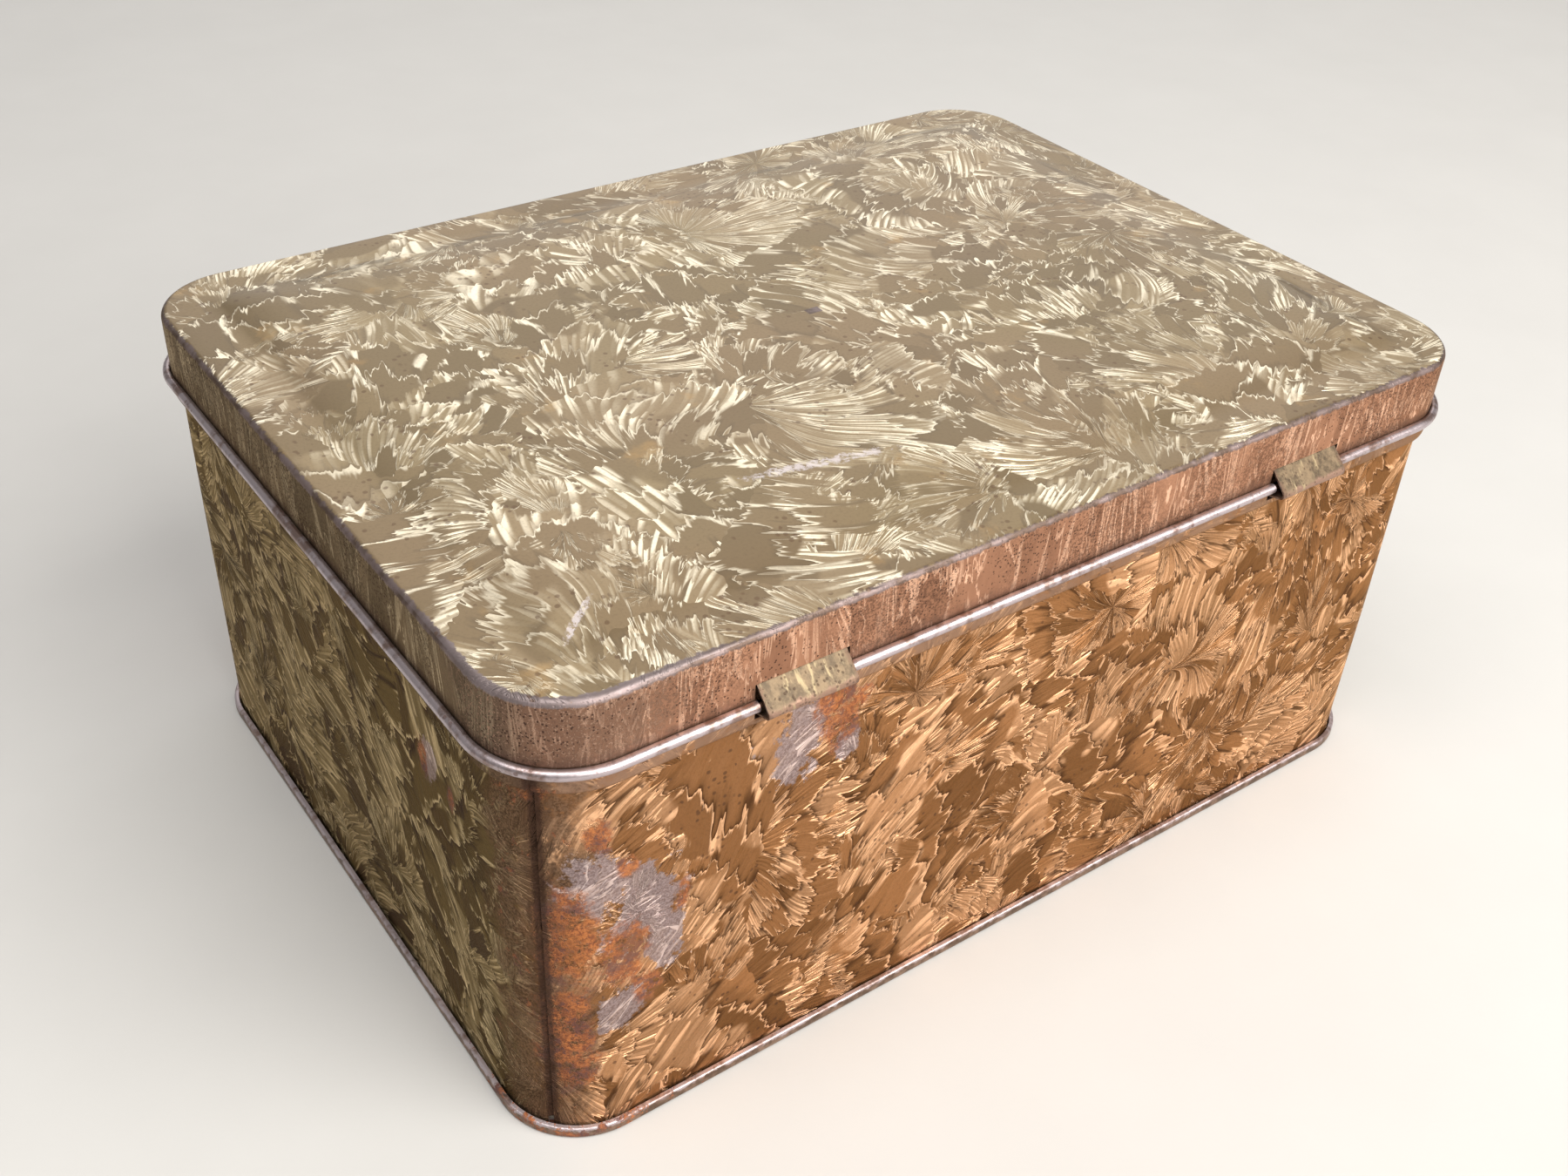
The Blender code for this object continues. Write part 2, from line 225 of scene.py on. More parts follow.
def base_section():
    """From the recessed panel, down inside the wall, around its foot and over its flange."""
    middle = SHEET / 2
    chuck = WALL - SHEET - SHEET_GAP
    floor = RIM_RADIUS + middle
    top = RECESS + middle - RIM_RADIUS
    line = arc((chuck - RIM_RADIUS, top), RIM_RADIUS, 90, 0, BEND_STEPS)
    line += arc((chuck + RIM_RADIUS, floor), RIM_RADIUS, 180, 270, BEND_STEPS)
    line += arc((-middle - RIM_RADIUS, floor), RIM_RADIUS, -90, 0, BEND_STEPS)
    cover = 2 * middle
    line += arc((-middle - cover, RIM_HEIGHT - middle - cover), cover, 0, 90, 5)
    line.append(Vector((WALL + SHEET + SHEET_GAP, RIM_HEIGHT - middle)))
    return line


def strap_section():
    """From the leaf on the neck, around the lid's wire, to the tail inside the wall."""
    leaf = WALL + SHEET / 2 + SEATED_GAP + STRAP_SHEET / 2
    tail = WALL - SHEET / 2 - SEATED_GAP - STRAP_SHEET / 2
    start = Vector((leaf, HINGE_HEIGHT + LEAF_START))
    nose = Vector((BEAD + NOSE_REACH, HINGE_HEIGHT - NOSE_DROP))
    radius = NOSE_RADIUS - STRAP_SHEET / 2
    through = Vector((tail, HINGE_HEIGHT - TAIL_DROP))
    way_out = nose - start
    way_in = through - nose
    first = math.atan2(way_out.y, way_out.x) + math.asin(radius / way_out.length) + math.pi / 2
    last = math.atan2(way_in.y, way_in.x) + math.asin(radius / way_in.length) + math.pi / 2
    bend = arc(nose, radius, math.degrees(first), math.degrees(last) - 360 * (last > first), 16)
    line = [start + Vector((0, LEAF_LENGTH)), start]
    line += run(start, bend[0], 5) + bend + run(bend[-1], through, 3)
    line += [through, through - Vector((0, TAIL_LENGTH))]
    return line


def slit_height():
    """Lowest and highest point of the slits that the straps' tails pass through."""
    return HINGE_HEIGHT - TAIL_DROP - STRAP_SHEET / 2 - 1.5 * SHEET_GAP, BEAD_BOTTOM + SHEET


# Stations round the box

def corner_point(corner, angle, offset):
    """A point of the box's outline, seen from above, at an angle around one of its corners."""
    radius = max(CORNER_RADIUS + offset, PANEL_CORNER)
    side_x = (1, -1, -1, 1)[corner]
    side_y = (1, 1, -1, -1)[corner]
    turn = math.radians(angle)
    x = side_x * (LENGTH / 2 + offset - radius) + radius * math.cos(turn)
    y = side_y * (WIDTH / 2 + offset - radius) + radius * math.sin(turn)
    return Vector((x, y + CENTRE_Y, 0))


def place(station, point):
    """A section's point at a station: (corner, angle, share of the way to the next corner)."""
    corner, angle, share = station
    here = corner_point(corner, angle, point.x)
    if share:
        here = here.lerp(corner_point((corner + 1) % 4, angle, point.x), share)
    return here + Vector((0, 0, point.y))


def side_shares(corner):
    """Shares of the way along a straight side, with one at each side of a strap on the back."""
    side = (LENGTH, WIDTH)[corner % 2] - 2 * CORNER_RADIUS
    steps = round(side / RUN_STEP)
    shares = {step / steps for step in range(1, steps)}
    if corner == 0:
        for low, high in STRAPS.values():
            for x in (low.x - STRAP_GAP, high.x + STRAP_GAP):
                near = (side / 2 - x) / side
                shares = {share for share in shares if abs(share - near) > 0.3 / steps} | {near}
    return sorted(shares)


def corner_stations(corner, start, end, steps):
    """Stations round a corner, from one angle to another."""
    return [(corner, start + (end - start) * step / steps, 0) for step in range(steps + 1)]


def side_stations(corner):
    """Stations along the straight side after a corner, its ends left out."""
    return [(corner, 90 * (corner + 1), share) for share in side_shares(corner)]


def closed_stations():
    """Stations all the way round the outline."""
    stations = []
    for corner in range(4):
        turn = 90 * corner
        stations += corner_stations(corner, turn, turn + 90, CORNER_STEPS) + side_stations(corner)
    return stations


def wall_stations(first):
    """Stations of one L-shaped wall sheet, and how many of them lie before its lap."""
    turn = 90 * first
    steps = CORNER_STEPS // 2
    stations = corner_stations(first, turn + SEAM_ANGLE, turn + 90, steps) + side_stations(first)
    middle = (first + 1) % 4
    stations += corner_stations(middle, turn + 90, turn + 180, CORNER_STEPS)
    stations += side_stations(middle)
    last = (first + 2) % 4
    turn += 180
    radius = CORNER_RADIUS + WALL
    lap_start = SEAM_ANGLE - math.degrees(SEAM_GAP / radius)
    sheet_end = lap_start - math.degrees(JOGGLE / radius)
    lap_end = SEAM_ANGLE + math.degrees(LAP_WIDTH / radius)
    stations += corner_stations(last, turn, turn + sheet_end, steps)
    before_lap = len(stations)
    stations += corner_stations(last, turn + lap_start, turn + lap_end, LAP_STEPS)
    return stations, before_lap


def distances(points):
    """Distance of each point from the first, along the line through them."""
    found = [0.0]
    for before, after in zip(points, points[1:]):
        found.append(found[-1] + (after - before).length)
    return found


# Sheets

def sheet(name, left, right, across, down, slots, skip=None, closed=True, cap=False):
    """A piece of sheet metal from the grids of its two faces.

    across and down are the pattern's coordinates of each station and row. slots gives the
    material of a cell's left face, right face and cut edge. skip says which cells are cut out.
    """
    mesh = bmesh.new()
    layer = mesh.loops.layers.uv.new("sheet")
    rows = len(down) - 1
    columns = len(left) if closed else len(left) - 1
    faces = [[[mesh.verts.new(point) for point in row] for row in side] for side in (left, right)]

    def kept(i, j):
        if closed:
            i %= columns
        return 0 <= i < columns and 0 <= j < rows and not (skip and skip(i, j))

    def add(corners, slot):
        face = mesh.faces.new([faces[side][i % len(left)][j] for side, i, j in corners])
        face.material_index = slot
        for loop, (side, i, j) in zip(face.loops, corners):
            loop[layer].uv = (across[i] / MM, down[j] / MM)

    for i in range(columns):
        for j in range(rows):
            if not kept(i, j):
                continue
            slot_left, slot_right, slot_edge = slots(i, j)
            quad = ((i, j), (i, j + 1), (i + 1, j + 1), (i + 1, j))
            add([(0, *corner) for corner in quad], slot_left)
            add([(1, *corner) for corner in reversed(quad)], slot_right)
            sides = (((i, j), (i, j + 1), (i - 1, j)), ((i, j + 1), (i + 1, j + 1), (i, j + 1)),
                     ((i + 1, j + 1), (i + 1, j), (i + 1, j)), ((i + 1, j), (i, j), (i, j - 1)))
            for first, second, neighbour in sides:
                if not kept(*neighbour) and not (cap and neighbour[1] < 0):
                    add([(0, *second), (0, *first), (1, *first), (1, *second)], slot_edge)
    if cap:
        for side in (0, 1):
            face = mesh.faces.new([column[0] for column in faces[side]])
            face.material_index = slots(0, 0)[side]
    bmesh.ops.recalc_face_normals(mesh, faces=mesh.faces)
    loose = [vertex for vertex in mesh.verts if not vertex.link_faces]
    bmesh.ops.delete(mesh, geom=loose, context='VERTS')
    return finish(name, mesh)


def dress(piece, *materials):
    """Give a piece its materials, in the order of their slots."""
    for material in materials:
        piece.data.materials.append(material)
    return piece


def finish(name, mesh):
    """A smooth-shaded object of a bmesh."""
    data = bpy.data.meshes.new(name)
    mesh.to_mesh(data)
    mesh.free()
    data.shade_smooth()
    data.set_sharp_from_angle(angle=math.radians(SHARP_ANGLE))
    piece = bpy.data.objects.new(name, data)
    bpy.context.scene.collection.objects.link(piece)
    return piece


def wobble(point, layers):
    """How far a sheet is out of true at a place, from layers of (size, seed, height)."""
    found = 0.0
    for size, seed, height in layers:
        found += noise.noise(point / size + Vector((seed, seed * 1.7, -seed))) * height
    return found


def both_grids(stations, line, shape):
    """The grids of a sheet's left and right face; shape moves each point of the section."""
    grids = []
    for side in (1, -1):
        moved = offset_line(line, side * SHEET / 2)
        grids.append([[shape(station, point) for point in moved] for station in stations])
    return grids


def panel_dent(at):
    """How far the lid's panel is dented at a place: unevenly, and a little hollow."""
    middle = Vector((at.x / (LENGTH / 2), (at.y - CENTRE_Y) / (WIDTH / 2), 0))
    hollow = LID_HOLLOW * max(1 - middle.length_squared, 0)
    return wobble(Vector((at.x, at.y, 0)), LID_DENTS) - hollow


def ring_shares(rings):
    """Shares of the way from the middle of a panel to its edge, the edge left out."""
    return [SMALLEST_RING] + [step / rings for step in range(1, rings)]


def fill_panel(grid, rings, height):
    """Put a panel's rings before a grid's rows; height gives z at a ring's point and share."""
    centre = Vector((0, CENTRE_Y, 0))
    for column in grid:
        inner = []
        for share in rings:
            at = centre + (column[0] - centre) * share
            at.z = height(at, share)
            inner.append(at)
        column[:0] = inner


def make_lid():
    """The pressed lid, notched at the straps, with gentle dents in its panel."""
    stations = closed_stations()
    line, roll_row, notch_row, curl_row = lid_section()
    rings = ring_shares(LID_RINGS)

    def shape(station, point):
        at = place(station, point)
        skirt = min(max((LID_TOP - point.y) / (LID_TOP - HINGE_HEIGHT), 0), 1)
        lean = wobble(Vector((at.x, at.y, 0)), SKIRT_LEAN) * math.sin(math.pi * skirt)
        inward = min(max(-point.x / (BORDER_WIDTH * 1.6), 0), 1)
        return place(station, point + Vector((lean, panel_dent(at) * inward)))

    grids = both_grids(stations, line, shape)
    for grid, top in zip(grids, (lid_high.z, lid_high.z - SHEET)):
        fill_panel(grid, rings, lambda at, share: top + panel_dent(at))
    along = distances(line)
    roll = along[roll_row]
    down = [-roll - (1 - share) * WIDTH / 3 for share in rings] + [value - roll for value in along]
    across = station_distances(stations)

    def slots(i, j):
        row = j - len(rings)
        outer = 0 if row < roll_row else 1
        return (3, 2, 2) if row >= curl_row else (outer, 3, 2)

    def skip(i, j):
        return j - len(rings) >= notch_row and at_strap(stations, i)

    piece = sheet("lid", *grids, across, down, slots, skip, cap=True)
    inside = inside_finish("lid_inside")
    return dress(piece, lid_top_finish(), lid_skirt_finish(), bead_finish(), inside)


def station_distances(stations):
    """The pattern's coordinate of each station, and of the first one again after a whole turn."""
    points = [place(station, Vector((0, 0))) for station in stations]
    return distances(points + points[:1])


def at_strap(stations, i):
    """True between two stations where a strap passes on the back."""
    first = place(stations[i], Vector((0, 0)))
    second = place(stations[(i + 1) % len(stations)], Vector((0, 0)))
    middle = (first + second) / 2
    if middle.y < hinge.y - 2 * BEAD_EXTENT:
        return False
    return any(low.x - STRAP_GAP < middle.x < high.x + STRAP_GAP for low, high in STRAPS.values())


def make_wall(name, first_corner):
    """An L-shaped wall sheet, from its plain edge to its other edge, where it steps in to a lap."""
    stations, before_lap = wall_stations(first_corner)
    line, low, high = wall_section()
    slit_low, slit_high = slit_height()
    foot = RIM_HEIGHT + 2 * MM
    top = BAND_BOTTOM - 2 * MM

    def shape(station, point):
        at = place(station, point)
        free = min(max((point.y - foot) / (top - foot), 0), 1)
        dent = wobble(at, WALL_DENTS) * math.sin(math.pi * free)
        return place(station, point + Vector((dent, 0)))

    grids = both_grids(stations, line, shape)
    step_in = SHEET + LAP_GAP
    for grid, side in zip(grids, (1, -1)):
        moved = offset_line(line, step_in + side * SHEET / 2)
        for index in range(before_lap, len(stations)):
            grid[index] = [shape(stations[index], point) for point in moved]
    points = [place(station, Vector((WALL, 0))) for station in stations]
    turn_start = station_distances(closed_stations())
    first = first_corner // 2 * (turn_start[-1] / 2) + math.radians(SEAM_ANGLE) * CORNER_RADIUS
    across = [first + value for value in distances(points)]
    down = [max(point.y, 0) for point in line]

    def skip(i, j):
        middle = (line[j].y + line[j + 1].y) / 2
        beyond_lap = i >= before_lap - 1 and not low <= j < high
        outer_wall = RIM_HEIGHT < middle and line[j].x > WALL - SHEET / 2
        return beyond_lap or (slit_low < middle < slit_high and outer_wall and at_strap(stations, i))

    piece = sheet(name, *grids, across, down, lambda i, j: (1, 0, 2), skip, closed=False)
    heading = (40, -42)[first_corner // 2]
    lacquer = wall_finish(name + "_lacquer", heading, (across[0] / MM, across[before_lap] / MM))
    return dress(piece, lacquer, inside_finish(name + "_inside"), edge_finish(name + "_edge"))


def make_base():
    """A panel that sinks a little to its middle, its rim seamed around the walls' flange."""
    stations = closed_stations()
    line = base_section()
    rings = ring_shares(BASE_RINGS)

    def shape(station, point):
        at = place(station, point)
        outside = point.x > -SHEET and point.y > RIM_RADIUS
        lean = wobble(at, RIM_LEAN) * outside
        return place(station, point + Vector((lean, 0)))

    def base_height(at, share):
        return at.z + wobble(Vector((at.x, at.y, 0)), BASE_DENTS) * (1 - share ** 4)

    grids = both_grids(stations, line, shape)
    for grid in grids:
        fill_panel(grid, rings, base_height)
    along = distances(line)
    down = [-(1 - share) * WIDTH / 3 for share in rings] + along

    def slots(i, j):
        return (1, 0, 0) if j < len(rings) + BEND_STEPS else (2, 2, 2)

    piece = sheet("base", *grids, station_distances(stations), down, slots, cap=True)
    return dress(piece, underside_finish(), inside_finish("base_inside"), rim_finish())


def make_wire():
    """A round wire, bent to the box's outline and joined end to end."""
    mesh = bmesh.new()
    rim = arc((BEAD, HINGE_HEIGHT), WIRE_RADIUS, 0, 330, 11)
    rows = [[mesh.verts.new(place(station, point)) for point in rim] for station in closed_stations()]
    for here, ahead in zip(rows, rows[1:] + rows[:1]):
        for step in range(len(rim)):
            after = (step + 1) % len(rim)
            mesh.faces.new((here[step], here[after], ahead[after], ahead[step]))
    bmesh.ops.recalc_face_normals(mesh, faces=mesh.faces)
    return dress(finish("edge_wire", mesh), wire_finish())


def make_strap(side):
    """A bent strap, a little uneven along its edges."""
    low, high = STRAPS[side]
    line = strap_section()
    shares = [step / STRAP_STEPS for step in range(STRAP_STEPS + 1)]
    grids = []
    for face in (1, -1):
        moved = offset_line(line, face * STRAP_SHEET / 2)
        grid = []
        for share in shares:
            x = low.x + (high.x - low.x) * share
            column = []
            for point in moved:
                at = Vector((x, CENTRE_Y + WIDTH / 2 + point.x, point.y))
                sway = wobble(at, STRAP_SWAY)
                outer = min(max((point.x - BEAD) / NOSE_REACH, 0), 1)
                column.append(at + Vector((0, sway * outer, -sway * outer)))
            grid.append(column)
        grids.append(grid)
    across = [(high.x - low.x) * share for share in shares]
    down = distances(line)
    piece = sheet(f"strap_{side}", *grids, across, down, lambda i, j: (0, 0, 1), closed=False)
    face = strap_finish(f"strap_{side}_face", (low.x + high.x) / 2 / MM)
    return dress(piece, face, edge_finish(f"strap_{side}_edge"))


# Materials

COAT_ROUGHNESS = 0.22


class Finish:
    """A material under construction, with short names for the nodes it is made of."""

    def __init__(self, name):
        self.material = bpy.data.materials.new(name)
        self.material.use_nodes = True
        self.tree = self.material.node_tree
        self.shader = self.tree.nodes['Principled BSDF']
        self.place = self.vector('SCALE', self.node('TexCoord').outputs['Object'], 1 / MM)
        self.sheet = self.node('UVMap', uv_map="sheet").outputs['UV']
        self.colour = None

    def put(self, socket, value):
        """Link a socket, or set its value."""
        if isinstance(value, bpy.types.NodeSocket):
            self.tree.links.new(value, socket)
        elif hasattr(value, '__len__') and len(value) < len(socket.default_value):
            socket.default_value = (*value, 1)
        else:
            socket.default_value = value

    def node(self, kind, inputs=(), **settings):
        node = self.tree.nodes.new('ShaderNode' + kind)
        for key, value in settings.items():
            setattr(node, key, value)
        for key, value in dict(inputs).items():
            self.put(node.inputs[key], value)
        return node

    def math(self, operation, *values):
        return self.node('Math', enumerate(values), operation=operation).outputs[0]

    def chain(self, operation, found, *values):
        for value in values:
            found = self.math(operation, found, value)
        return found

    def add(self, *values):
        return self.chain('ADD', *values)

    def times(self, *values):
        return self.chain('MULTIPLY', *values)

    def most(self, *values):
        return self.chain('MAXIMUM', *values)

    def vector(self, operation, *values):
        node = self.node('VectorMath', operation=operation)
        for index, value in enumerate(values):
            scale = operation == 'SCALE' and index == 1
            self.put(node.inputs['Scale' if scale else index], value)
        return node.outputs['Value' if operation == 'LENGTH' else 'Vector']

    def split(self, vector):
        return self.node('SeparateXYZ', {0: vector}).outputs

    def join(self, x=0.0, y=0.0, z=0.0):
        return self.node('CombineXYZ', {0: x, 1: y, 2: z}).outputs[0]

    def ease(self, value, low, high):
        """From 0 at low to 1 at high, smoothly."""
        inputs = {'Value': value, 'From Min': low, 'From Max': high}
        return self.node('MapRange', inputs, interpolation_type='SMOOTHSTEP').outputs[0]

    def span(self, value, low, high, start=0.0, end=1.0):
        """From start at low to end at high, in a straight line."""
        inputs = {'Value': value, 'From Min': low, 'From Max': high, 'To Min': start, 'To Max': end}
        return self.node('MapRange', inputs).outputs[0]

    def sway(self, value, amount, low=0.3, high=0.7):
        """From -amount at low to amount at high, in a straight line."""
        return self.span(value, low, high, -amount, amount)

    def noise(self, size, detail=2.0, roughness=0.5, at=None, output=0):
        """Noise with lumps of a given size, worked out at the surface or at another vector."""
        inputs = {'Vector': at or self.place, 'Scale': 1 / size, 'Detail': detail,
                  'Roughness': roughness}
        return self.node('TexNoise', inputs).outputs[output]

    def turn(self, vector, heading=0.0):
        """The vector as seen from axes that are turned to a heading in degrees."""
        if not heading:
            return vector
        inputs = {'Vector': vector, 'Angle': -math.radians(heading)}
        return self.node('VectorRotate', inputs, rotation_type='Z_AXIS').outputs[0]

    def wander(self, at, size, detail, roughness, reach):
        """A displacement of up to about half the reach each way."""
        colour = self.noise(size, detail, roughness, at, 'Color')
        centred = self.vector('SUBTRACT', colour, (0.5, 0.5, 0.5))
        return self.vector('SCALE', centred, reach)

    def paint(self, mask, colour, share=1.0, blend='MIX'):
        """Cover what is painted so far with a share of a colour, where the mask is 1."""
        if share != 1:
            mask = self.times(mask, share)
        self.colour = self.mix(mask, self.colour, colour, blend)

    def cells(self, vector, size, feature='F1', dimensions='2D'):
        inputs = {'Vector': vector, 'Scale': 1 / size}
        return self.node('TexVoronoi', inputs, feature=feature, voronoi_dimensions=dimensions).outputs

    def mix(self, share, first, second, blend='MIX'):
        node = self.node('Mix', data_type='RGBA', blend_type=blend)
        self.put(node.inputs[0], share)
        self.put(node.inputs[6], first)
        self.put(node.inputs[7], second)
        return node.outputs[2]

    def between(self, share, first, second):
        """A number between two others."""
        node = self.node('Mix', data_type='FLOAT')
        self.put(node.inputs[0], share)
        self.put(node.inputs[2], first)
        self.put(node.inputs[3], second)
        return node.outputs[0]

    def finish(self, roughness, metallic, height, depth, coat=0.0, edge=(1, 1, 1)):
        """Link the shader; depth is how many millimetres a height of 1 stands for.

        Edge is the colour of what the metal reflects at a glancing angle.
        """
        self.put(self.shader.inputs['Base Color'], self.colour)
        self.put(self.shader.inputs['Roughness'], roughness)
        self.put(self.shader.inputs['Metallic'], metallic)
        self.put(self.shader.inputs['Coat Weight'], coat)
        self.shader.inputs['Coat Roughness'].default_value = COAT_ROUGHNESS
        self.shader.inputs['Specular Tint'].default_value = (*edge, 1)
        bump = self.node('Bump', {'Strength': 1.0, 'Distance': depth * MM, 'Height': height})
        self.put(self.shader.inputs['Normal'], bump.outputs[0])
        return self.material


def crystals(f, plane, size, seed, heading=90.0, spread=(90, 60)):
    """Frost-like crystals: fans of rays, broken into flat grains with toothed edges.

    Most rays run along the heading, in degrees, because a fan's centre mostly lies behind it, by
    up to the first spread, and to one side, by up to half the second. Gives each grain's tone,
    a painted highlight along its toothed rim, painted shade in the dip behind that rim, how far a
    place lies ahead of its middle, the rays' fine streaks, how feathery it is, and the petals along
    the rays, a pattern that is painted bright as highlights.
    """
    plane = f.turn(plane, heading)
    bent = f.vector('ADD', plane, f.wander(plane, 70 * size, 1, 0.5, 50 * size))
    bent = f.vector('ADD', bent, (seed, seed * 0.7, 0))
    rough = f.wander(plane, 16 * size, 3, 0.6, 24 * size)
    fan = f.cells(f.vector('ADD', bent, rough), 42 * size)
    fan_random = f.split(fan['Color'])
    behind = f.span(fan_random[0], 0, 1, -0.25 * spread[0] * size, spread[0] * size)
    aside = f.sway(fan_random[1], 0.5 * spread[1] * size, 0, 1)
    ray = f.split(f.vector('ADD', f.vector('SUBTRACT', bent, fan['Position']), f.join(behind, aside)))
    reach = f.math('SQRT', f.add(f.times(ray[0], ray[0]), f.times(ray[1], ray[1])))
    turn = f.math('ARCTAN2', ray[1], ray[0])
    own = f.times(fan_random[2], 40)
    streak = f.noise(1, 2, 0.6, at=f.join(f.times(turn, 44), f.times(reach, 0.06 / size), own))
    teeth = f.noise(1, 1, 0.5, at=f.join(f.times(turn, 19), f.times(reach, 0.1 / size), f.add(own, 9)))
    jag = f.add(f.sway(teeth, 0.55, 0, 1), f.sway(streak, 0.34, 0, 1))

    grain_at = f.join(f.add(f.math('DIVIDE', reach, 13 * size), jag), f.add(f.times(turn, 3.6), own))
    grain = f.cells(grain_at, 1)
    grain_random = f.split(grain['Color'])
    ahead = f.split(f.vector('SUBTRACT', grain_at, grain['Position']))[0]
    edge = f.cells(grain_at, 1, 'DISTANCE_TO_EDGE')['Distance']
    # A painted highlight along each grain's toothed rim, and painted shade just behind it.
    rim = f.times(f.ease(edge, 0.11, 0.03), f.ease(ahead, -0.05, 0.15))
    crease_shade = f.times(f.ease(edge, 0.13, 0), f.ease(ahead, 0.1, -0.15))

    # Petals along the rays: part of the crystal pattern, painted bright as highlights.
    petal_at = f.join(f.add(f.math('DIVIDE', reach, 15 * size), f.sway(streak, 0.22, 0, 1)),
                      f.add(f.times(turn, 30), own))
    petal = f.cells(petal_at, 1)
    petal_random = f.split(petal['Color'])[0]
    within = f.split(f.vector('SUBTRACT', petal_at, petal['Position']))
    tip = f.span(f.ease(within[0], -0.45, 0.3), 0, 1, 0.15, 1)
    side = f.times(f.ease(within[1], -0.45, 0.1), f.ease(within[1], 0.6, 0.35))
    petals = f.times(tip, side, f.ease(petal_random, 0.12, 0.62), f.ease(reach, 2 * size, 9 * size))
    drift = f.noise(40 * size, 2, at=plane)
    feathery = f.ease(f.add(grain_random[1], f.sway(drift, 0.7)), 0.52, 0.62)
    return {'tone': grain_random[0], 'rim': rim, 'crease_shade': crease_shade, 'ahead': ahead, 'streak': streak,
            'feathery': feathery, 'petals': f.times(petals, feathery)}


def two_sizes(f, plane, large, small, patch):
    """Two sets of crystals, each (size, seed, heading, spread), in ragged patches."""
    first = crystals(f, plane, *large)
    second = crystals(f, plane, *small)
    ragged = f.add(f.noise(patch, 3, at=plane), f.sway(first['streak'], 0.06, 0, 1))
    which = f.ease(ragged, 0.53, 0.56)
    return {key: f.between(which, first[key], second[key]) for key in first}


def spots(f, places, rag, size=5.0, soft=0.08):
    """Ragged patches, each a centre, three half widths and perhaps a heading in degrees."""
    worn = f.sway(f.noise(size, 5, 0.68), rag, 0.25, 0.75)
    found = 0.0
    for centre, widths, *heading in places:
        away = f.turn(f.vector('SUBTRACT', f.place, centre), *heading)
        reach = f.add(f.vector('LENGTH', f.vector('DIVIDE', away, widths)), worn)
        found = f.most(found, f.ease(reach, 1 + soft, 1 - soft))
    return found


def specks(f, size, share, rough=0.5):
    """Small round specks, denser where the noise is high."""
    cell = f.cells(f.place, size, dimensions='3D')
    random = f.split(cell['Color'])[0]
    dense = f.noise(14, 2)
    keep = f.ease(f.add(random, f.sway(dense, 0.25)), 1 - share, 1 - share + 0.05)
    return f.times(f.ease(cell['Distance'], rough, rough * 0.55), keep)


def rust_colour(f):
    """Orange-brown rust, crusted and spotted with dark purple-brown."""
    fine = f.noise(0.9, 4, 0.75)
    broad = f.noise(6, 4, 0.65)
    colour = f.mix(f.ease(fine, 0.38, 0.62), (0.16, 0.05, 0.026), (0.43, 0.15, 0.05))
    dark = f.ease(f.add(f.times(broad, 0.55), f.times(fine, 0.45)), 0.5, 0.555)
    return f.mix(dark, colour, (0.115, 0.048, 0.04)), fine


def inside_finish(name):
    """The sheets' inner side: dull tin with a faint gold wash and a few stains."""
    f = Finish(name)
    bend = f.vector('SCALE', f.noise(6, 2, 0.5, output='Color'), 7)
    grain = f.cells(f.vector('ADD', f.place, bend), 13, dimensions='3D')
    tone = f.split(grain['Color'])[0]
    f.colour = f.mix(tone, (0.28, 0.255, 0.21), (0.36, 0.33, 0.275))
    stain = f.ease(f.noise(28, 4, 0.65), 0.52, 0.72)
    f.paint(stain, (0.23, 0.165, 0.09), 0.55)
    f.paint(specks(f, 1.7, 0.1), (0.16, 0.08, 0.04), 0.7)
    fine = f.noise(0.9, 3, 0.6)
    roughness = f.add(f.span(tone, 0, 1, 0.56, 0.66), f.times(stain, 0.12), f.sway(fine, 0.04))
    height = f.add(f.times(tone, 0.15), f.times(fine, 0.25))
    return f.finish(roughness, 0.65, height, 0.06, 0.0, (0.6, 0.56, 0.48))


def edge_finish(name):
    """Cut or rubbed sheet edges: dark tin, browned."""
    f = Finish(name)
    fine = f.noise(1.4, 4, 0.65)
    f.colour = f.mix(f.ease(fine, 0.35, 0.65), (0.12, 0.07, 0.05), (0.34, 0.27, 0.23))
    return f.finish(f.span(fine, 0.3, 0.7, 0.35, 0.6), 0.7, fine, 0.08)


def wire_finish():
    """Drawn iron wire, browned, and browner in patches."""
    f = Finish("edge_wire_iron")
    fine = f.noise(1.1, 4, 0.65)
    broad = f.noise(9, 2)
    f.colour = f.mix(f.ease(fine, 0.35, 0.65), (0.13, 0.08, 0.06), (0.36, 0.31, 0.29))
    f.paint(f.ease(broad, 0.5, 0.65), (0.2, 0.09, 0.05))
    return f.finish(f.span(fine, 0.3, 0.7, 0.32, 0.55), 0.85, fine, 0.05)


# Where the looks change, in millimetres: see spots
LID_BARE = (((43, 59, 130.5), (17, 1.5, 6), -10), ((116, 80, 130), (6.5, 0.8, 6), 39))
LID_NEAR_CORNER = (((128, 92, 130), (34, 34, 20)),)


